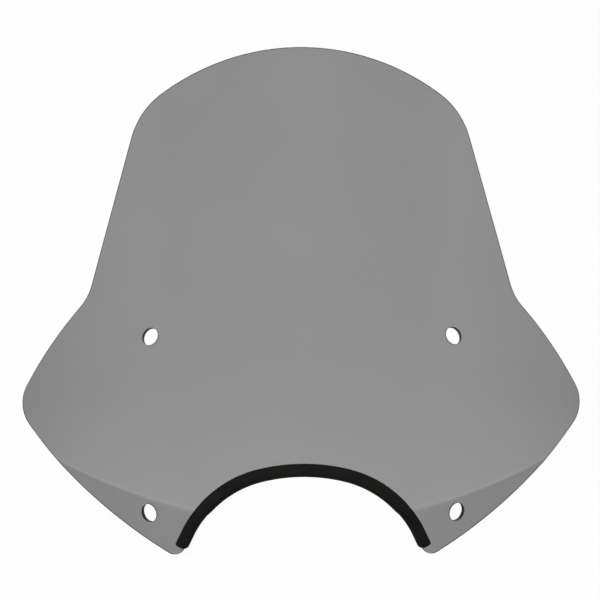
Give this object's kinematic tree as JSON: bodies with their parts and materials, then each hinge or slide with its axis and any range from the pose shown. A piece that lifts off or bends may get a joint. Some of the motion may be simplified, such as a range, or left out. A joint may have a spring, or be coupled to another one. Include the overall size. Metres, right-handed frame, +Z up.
{
  "type": "motorcycle windshield",
  "caption": "Smoke-tinted motorcycle windshield: raked curved sheet with flared wings, bent lower flanges, fixing holes and an arched headlight cut-out edged with rubber trim.",
  "frame": {"origin": "middle of the bottom of the whole part's box, below the two flange corners", "axes": "+X to the viewer's right across the machine, the convex front faces -Y, +Z up as mounted"},
  "size_m": [0.4086, 0.2252, 0.3032],
  "materials": {
    "smoke_sheet": "polished, clear smoke tint",
    "black_rubber": "matte extruded"
  },
  "bodies": {
    "root": {"windshield_panel": "smoke_sheet", "cutout_edge_trim": "black_rubber"}
  },
  "joints": []
}
